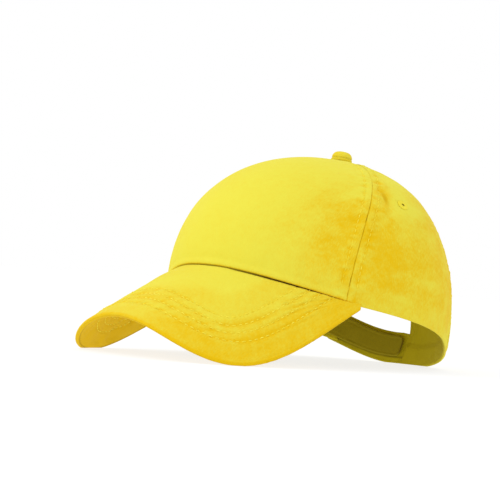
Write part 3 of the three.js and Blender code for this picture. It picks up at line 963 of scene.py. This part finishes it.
FRONT_RIGHT = (SEAMS["front_right"][0] - 360, SEAMS["front_right"][1])
crown_lines = build_panel(
    "front_panel", FRONT_RIGHT, SEAMS["front_left"], rim_edge, 1, 0.3, 190, 150
)
crown_lines += build_panel(
    "side_panel_left", SEAMS["front_left"], SEAMS["back_left"], rim_edge, 2, 1.0, 120, 150
)
crown_lines += build_panel(
    "side_panel_right", SEAMS["back_right"], SEAMS["front_right"], rim_edge, 3, 1.0, 100, 105
)
crown_lines += build_panel(
    "back_panel_left", SEAMS["back_left"], SEAMS["back"],
    arch_edge(SEAMS["back_left"], SEAMS["back"]), 4, 0.8, 130, 105, arch_line(-1)
)
crown_lines += build_panel(
    "back_panel_right", SEAMS["back"], SEAMS["back_right"],
    arch_edge(SEAMS["back"], SEAMS["back_right"]), 6, 0.8, 120, 105, arch_line(1)
)
stitches("crown_stitches", crown_lines, THREAD)

# Peak
ROWS_FROM_EDGE = (15.0, 21.0, 26.7, 32.5)


def build_peak():
    columns, rows = 220, 100
    u, v = np.meshgrid(np.linspace(0, 1, columns), np.linspace(0, 1, rows))
    u = 0.5 + np.sin((u - 0.5) * math.pi * 0.9) / (2 * math.sin(math.pi * 0.45))
    v = 1 - (1 - v) ** 1.25
    close = np.array([0.9965, 0.9988, 1.0])
    v = np.concatenate([v[:-2], close[:, None].repeat(columns, 1)])
    u = np.concatenate([u, u[:1]])
    middle, up = peak_face(peak_plan(u, v))
    outline = middle[-1]
    dense = np.stack([np.interp(np.linspace(0, 1, 900), u[0], outline[:, k]) for k in range(3)], -1)
    from_edge = nearest(middle, dense)
    from_edge[-1] = 0
    along = along_rows(middle)
    share = np.abs(2 * u - 1)
    half = lerp(PEAK_THICKNESS, PEAK_END_THICKNESS, share ** PEAK_END_TAPER) / 2
    reach = np.clip(1 - from_edge / half, 0, 0.98)
    thick = half * np.sqrt(1 - reach ** 2)
    relief, painted_crest_light = np.zeros_like(thick), np.zeros_like(thick)
    for i, row in enumerate(ROWS_FROM_EDGE):
        relief -= 0.4 * bell(from_edge - row, 0.8)
        pucker = ripple(along / 2.2, from_edge / 3.2, 40 + i) * bell(from_edge - row, 2.6)
        relief += 0.5 * pucker
        painted_crest_light += pucker - 0.6 * bell(from_edge - row, 0.9)
    relief += 0.3 * ripple(along / 14, from_edge / 12, 50) * smooth(2, 10, from_edge)
    relief -= 0.15 * bell(from_edge - 2.2, 0.5)
    calm = smooth(0, 4, from_edge) * smooth(1.02, 0.9, share)
    under = relief * calm + 0.5 * ripple(along / 6, from_edge / 9, 51) * smooth(2, 8, from_edge)
    from_crown = length_of(middle - middle[0])
    dip = PEAK_DIP * (1 - smooth(0, 26, from_crown)) * (1 - smooth(0.6, 0.88, share))
    dip = dip + PEAK_TUCK_DIP * (1 - smooth(0.4, 2.6, from_crown)) * (1 - smooth(0.86, 0.98, share))
    top = middle + up * (thick - dip + relief * smooth(1.02, 0.9, share))[..., None]
    bottom = middle - up * (thick + under + 0.5 * dip)[..., None]
    length = middle[..., 1] / math.cos(math.radians(PEAK_SLOPE))
    cloth = np.stack([middle[..., 0], length, 0 * along], -1)
    flat = np.zeros_like(along)
    # Painted shade on the peak's top: deeper gold towards its outer edge on the wearer's left half,
    # with random tone
    peak_shade_and_tone = 0.28 + 0.8 * smooth(50, 6, from_edge) * smooth(0.25, 0.7, u)
    peak_shade_and_tone = peak_shade_and_tone + 0.3 * ripple(along / 20, from_edge / 14, 52)
    fields = {
        "cloth": (cloth + 300.0, cloth),
        # Painted shadow: a dark line just inside the edge of the underside
        "fold": (0.35 * bell(from_edge - 1.6, 0.5), flat),
        # Painted shade: the underside wholly in the shaded tone, and a darker line along the top's
        # edge
        "painted_shade_and_tone": (flat + 2.0, peak_shade_and_tone + 0.8 * bell(from_edge, 1.3)),
        # Painted light on pucker crests and painted shade along the stitch rows
        "painted_crest_light": (painted_crest_light * 1.2, 1.2 * painted_crest_light),
        "inside": (flat, flat),
    }
    # The first row of the grid is at the crown, so the lower face is the grid's outer one
    sheet("peak_cloth", bottom, top, PEAK, "peak", fields)
    lines = []
    growing = np.maximum.accumulate(-from_edge.T, 1)
    for face, way in ((top, up), (bottom, -up)):
        for row in ROWS_FROM_EDGE:
            lines.append(row_at(growing, -row, face.transpose(1, 0, 2), way.transpose(1, 0, 2)))
    return lines


peak_lines = build_peak()
stitches("peak_stitches", peak_lines, THREAD, length=2.6, gap=1.3, radius=0.3, lift=0.16)


# Strap tabs
TAB_STITCH_AT = 2.0


def strap_sag(angle):
    left = float(opening_edge(-1, 0.0))
    right = float(opening_edge(1, 0.0)) + float(strap_angle(OUTER_LAP))
    return STRAP_SAG * np.sin(np.clip((angle - left) / (right - left), 0, 1) * math.pi)


def build_tab(
    name, node, start_at, end_at, low_at, high_at, depth_at, shade_at, material, seed
):
    length = abs(float(end_at(0.0) - start_at(0.0))) / float(strap_angle(1.0))
    columns, rows = 120, 34
    share = 0.5 - 0.5 * np.cos(np.linspace(0, math.pi, rows))
    across = np.linspace(0, 1, columns)
    across = np.concatenate([across[:-4], 1 - np.array([0.012, 0.006, 0.0025, 0.001, 0.0])])
    u, v = np.meshgrid(across, share)
    cut = np.maximum(TAB_CORNER - (1 - u) * length, 0)
    lost = TAB_CORNER - np.sqrt(np.maximum(TAB_CORNER ** 2 - cut ** 2, 0))
    height = lerp(low_at(u) + lost, high_at(u) - lost, v)
    angle = lerp(start_at(height), end_at(height), u)
    turn = turn_at_height(angle, height)
    face, normal = crown_point(angle, turn), crown_normal(angle, turn)
    face[..., 2] -= strap_sag(angle)
    along, up = along_rows(face), along_columns(face)
    border = np.concatenate([face[0], face[-1], face[:, -1], face[:, 0]])
    edge = nearest(face, border)
    curl = rolled(edge, STRAP_WALL / 2)
    relief = -0.18 * bell(edge - TAB_STITCH_AT, 0.6)
    relief += 0.14 * ripple(along / 2.6, edge / 3, seed) * bell(edge - TAB_STITCH_AT, 2)
    relief += 0.15 * ripple(along / 12, up / 9, seed + 1) * smooth(1, 4, edge)
    depth = depth_at(u)
    outer = face - normal * (depth + curl - relief)[..., None]
    inner = face - normal * (depth + STRAP_WALL - curl + relief)[..., None]
    cloth = np.stack([along, up, 0 * up], -1)
    flat = np.zeros_like(up)
    # Painted shadow at the free end of each tab on its inner face and along the shade_at line;
    # painted light lines along the edges
    fields = {
        "cloth": (cloth, cloth + 90.0),
        "fold": (flat, 0.75 * bell((1 - u) * length - 0.2, 0.5) + shade_at(u, height)),
        "painted_shade_and_tone": (flat, flat),
        "painted_crest_light": (0.4 * bell(edge - 0.5, 0.8), 1.6 * bell(edge - 0.5, 0.6)),
        # the inner face gets the painted shade of the hollow
        "inside": (flat, flat + 1),
    }
    # A tab that runs back round the head is reversed, so that its outer face stays outside
    if end_at(0.0) < start_at(0.0):
        outer, inner, normal = outer[:, ::-1], inner[:, ::-1], normal[:, ::-1]
        edge = edge[:, ::-1]
        fields = {k: (a[:, ::-1], b[:, ::-1]) for k, (a, b) in fields.items()}
    sheet(name, outer, inner, material, node, fields)
    lines = []
    for part in (slice(0, rows // 2), slice(rows - 1, rows // 2, -1)):
        growing = np.maximum.accumulate(edge[part].T, 1)
        for grids in ((outer, normal), (inner, -normal)):
            points, ways = (grid[part].transpose(1, 0, 2) for grid in grids)
            lines.append(row_at(growing, TAB_STITCH_AT, points, ways))
    return lines


def outer_start(height):
    return opening_edge(-1, height) - strap_angle(STRAP_JOIN)


def outer_end(height):
    return opening_edge(1, 0.0) + strap_angle(OUTER_LAP) + 0 * height


def inner_start(height):
    return opening_edge(1, 0.0) + strap_angle(STRAP_LAP) + 0 * height


def inner_end(height):
    return opening_edge(-1, height) + strap_angle(INNER_FREE_END)


def inner_low(u):
    return INNER_TAB_RISE + INNER_TAB_CLIMB * u


# The outer tab's shade_at is a painted shadow line under the inner tab's lower edge
outer_lines = build_tab(
    "strap_outer_tab", "strap_outer", outer_start, outer_end, lambda u: 0 * u,
    lambda u: STRAP_WIDTH + 0 * u,
    lambda u: -(STRAP_WALL + STRAP_GAP) * smooth(0, STRAP_CLEAR_AT, u),
    lambda u, height: 0.6 * bell(height - inner_low(1 - u) + 0.3, 0.7), STRAP, 60
)
inner_lines = build_tab(
    "strap_inner_tab", "strap_inner", inner_start, inner_end,
    inner_low, lambda u: INNER_TAB_RISE + INNER_TAB_WIDTH + INNER_TAB_FLARE * (1 - u),
    lambda u: HEM_WALL + STRAP_GAP + 0 * u, lambda u, height: 0 * u, TAPE, 64
)
stitches("strap_stitches", outer_lines[::2] + inner_lines[::2], THREAD, radius=0.2, lift=0.08)


# Button and eyelets
def turned_piece(name, profile, sides, at, up, material, node, ridge, crease_shade_at):
    """A piece turned about a line that stands on the cloth. The profile gives radius and height."""
    profile = np.array(profile)
    swing = np.arange(sides) / sides * 2 * math.pi
    radius = profile[:, 0][:, None] * np.ones(sides)
    height = profile[:, 1][:, None] * np.ones(sides)
    more, lift = ridge(profile, swing)
    radius, height = radius + more, height + lift
    side = unit(np.cross(up, [0.0, 1.0, 0.2]))
    other = np.cross(up, side)
    ring = (
        at
        + side * (radius * np.cos(swing))[..., None]
        + other * (radius * np.sin(swing))[..., None]
        + up * height[..., None]
    )
    rows = len(profile)
    index = np.arange(rows * sides).reshape(rows, sides)
    after = np.roll(index, -1, 1)
    faces = np.stack([index[:-1], after[:-1], after[1:], index[1:]], -1).reshape(-1, 4).tolist()
    faces.append(index[0][::-1].tolist())
    faces.append(index[-1].tolist())
    points = ring.reshape(-1, 3)
    cloth = np.stack([radius * np.cos(swing), radius * np.sin(swing), height], -1).reshape(-1, 3)
    # Painted shade in creases, carried by the fold attribute
    painted_shade = crease_shade_at(profile)[:, None] * np.ones(sides)
    flat = np.zeros(len(points))
    fields = {
        "cloth": cloth, "fold": painted_shade.ravel(), "painted_shade_and_tone": flat + 0.6, "painted_crest_light": flat,
        "inside": flat,
    }
    add_mesh(name, placed(points), faces, material, node, fields)


def button_profile():
    profile = [(0.2, -1.6), (BUTTON_RADIUS * 0.78, -1.6), (BUTTON_RADIUS * 0.84, -0.2)]
    for angle in np.linspace(-75, 30, 9):
        a = math.radians(angle)
        profile.append((BUTTON_RADIUS - 0.75 + 1.0 * math.cos(a), 1.4 + 1.25 * math.sin(a)))
    profile.append((BUTTON_RADIUS * 0.93, BUTTON_RIM_HEIGHT + 0.35))
    for angle in np.linspace(8, 88, 18):
        a = math.radians(angle)
        rise = BUTTON_HEIGHT - BUTTON_RIM_HEIGHT
        wide = BUTTON_RADIUS * 1.02 * math.cos(a) ** 0.6
        profile.append((wide, BUTTON_RIM_HEIGHT + 0.3 + (rise + 0.4) * math.sin(a) ** 0.9))
    return profile


def button_pleats(profile, swing):
    near_rim = (bell(profile[:, 1] - 1.4, 1.3) * (profile[:, 0] > 3))[:, None]
    pleat = near_rim * (0.12 * np.cos(swing * 15 + 0.6) + 0.08 * np.cos(swing * 26))
    return pleat, 0 * pleat


def button_crease_shade(profile):
    """Painted shade on the line between the button's rim and its dome, and painted shadow at its
    foot on the cloth.
    """
    height = profile[:, 1]
    return 0.12 * bell(height - BUTTON_RIM_HEIGHT - 0.35, 0.3) + 0.4 * bell(height, 0.5)


button_at = np.array([0.0, -CROWN_TOP_FORWARD, CROWN_HEIGHT + BUTTON_GAP + 0.4])
upright = np.array([0.0, 0.0, 1.0])
turned_piece(
    "button_covered", button_profile(), 96, button_at, upright, CROWN,
    "button", button_pleats, button_crease_shade
)


def eyelet_profile():
    """From the bottom of the hole, up its wall and over the sewn ring to the cloth."""
    profile = [(0.05, -1.0), (EYELET_HOLE, -1.0), (EYELET_HOLE, -0.4)]
    thread = (EYELET_RADIUS - EYELET_HOLE) / 2
    for angle in np.linspace(180, 0, 13):
        a = math.radians(angle)
        profile.append((EYELET_RADIUS - thread + thread * math.cos(a), 0.3 * math.sin(a) - 0.2))
    profile.append((EYELET_RADIUS, -0.6))
    return profile


def eyelet_wraps(profile, swing):
    outside = np.clip(profile[:, 1] + 0.1, 0, 1)[:, None]
    wrap = 0.12 * np.cos(swing * 36)
    return outside * wrap, outside * wrap


for side, (at, up) in EYELETS.items():
    turned_piece(
        "eyelet_ring_" + side, eyelet_profile(), 216, at, up, EYELET_THREADS,
        "eyelet_" + side, eyelet_wraps,
        # Painted shadow in the hole and up its wall
        lambda profile: 1 - smooth(0.0, 0.35, profile[:, 0] - EYELET_HOLE)
    )


# Camera: the photograph's angle to the cap, which tips with the cap to its rest
def build_camera():
    azimuth, elevation, roll = (
        math.radians(value) for value in (CAMERA_AZIMUTH, CAMERA_ELEVATION, CAMERA_ROLL)
    )
    back = np.array([
        math.sin(azimuth) * math.cos(elevation),
        -math.cos(azimuth) * math.cos(elevation),
        math.sin(elevation),
    ])
    level = np.array([math.cos(azimuth), math.sin(azimuth), 0.0])
    above = np.cross(back, level)
    right = level * math.cos(roll) + above * math.sin(roll)
    up = above * math.cos(roll) - level * math.sin(roll)
    at = turned(CAMERA_AT, PITCH) - np.array([0, 0, FLOOR]) + SHIFT
    right, up, back = (turned(way, PITCH) for way in (right, up, back))
    data = bpy.data.cameras.new("camera")
    data.lens = CAMERA_LENS
    data.sensor_width = 36.0
    data.clip_start, data.clip_end = 0.05, 100.0
    camera = bpy.data.objects.new("camera", data)
    turn = Matrix([[*row] for row in zip(right, up, back)])
    camera.matrix_world = Matrix.Translation(Vector(at * MM)) @ turn.to_4x4()
    bpy.context.scene.collection.objects.link(camera)
    bpy.context.scene.camera = camera
    return right, back


RIGHT, BACK = build_camera()


# Floor and light
FLOOR_REACH = 30.0
FLOOR_CLEARANCE = 0.0002


def build_floor():
    mesh = bpy.data.meshes.new("floor")
    corners = [
        (x * FLOOR_REACH, y * FLOOR_REACH, -FLOOR_CLEARANCE)
        for x, y in ((-1, -1), (1, -1), (1, 1), (-1, 1))
    ]
    mesh.from_pydata(corners, [], [(0, 1, 2, 3)])
    finish = Finish("floor_pale", 0.9, specular=0.0)
    at = finish.node("ShaderNodeTexCoord", {}, {}, "Object")
    tone = finish.noise(at, 3.0)
    finish.shader.inputs["Emission Strength"].default_value = 0.8
    mesh.materials.append(finish.paint(
        Base_Color=finish.mix(tone, (0.22, 0.22, 0.22), (0.24, 0.24, 0.24)),
        Emission_Color=(1.0, 1.0, 1.0)
    ))
    floor = bpy.data.objects.new("floor", mesh)
    bpy.context.scene.collection.objects.link(floor)


def build_light(name, way, distance, size, power, colour):
    data = bpy.data.lights.new(name, "AREA")
    data.shape = "DISK"
    data.size = size
    data.energy = power
    data.color = colour
    lamp = bpy.data.objects.new(name, data)
    way = Vector(way).normalized()
    lamp.location = Vector((0, 0, 0.06)) + way * distance
    lamp.rotation_mode = "QUATERNION"
    lamp.rotation_quaternion = way.to_track_quat("Z", "Y")
    bpy.context.scene.collection.objects.link(lamp)


build_floor()
flat_right = np.array([RIGHT[0], RIGHT[1], 0.0])
flat_back = np.array([BACK[0], BACK[1], 0.0])
key_way = -0.8 * flat_right + 0.75 * upright + 0.35 * flat_back
build_light("key", key_way, distance=1.6, size=0.6, power=4.8, colour=(1.0, 1.0, 0.97))

world = bpy.data.worlds.new("studio")
bpy.context.scene.world = world
world.use_nodes = True
background = world.node_tree.nodes["Background"]
background.inputs["Color"].default_value = (1.0, 1.0, 1.0, 1.0)
background.inputs["Strength"].default_value = 1.0

bpy.context.scene.view_settings.view_transform = "Standard"
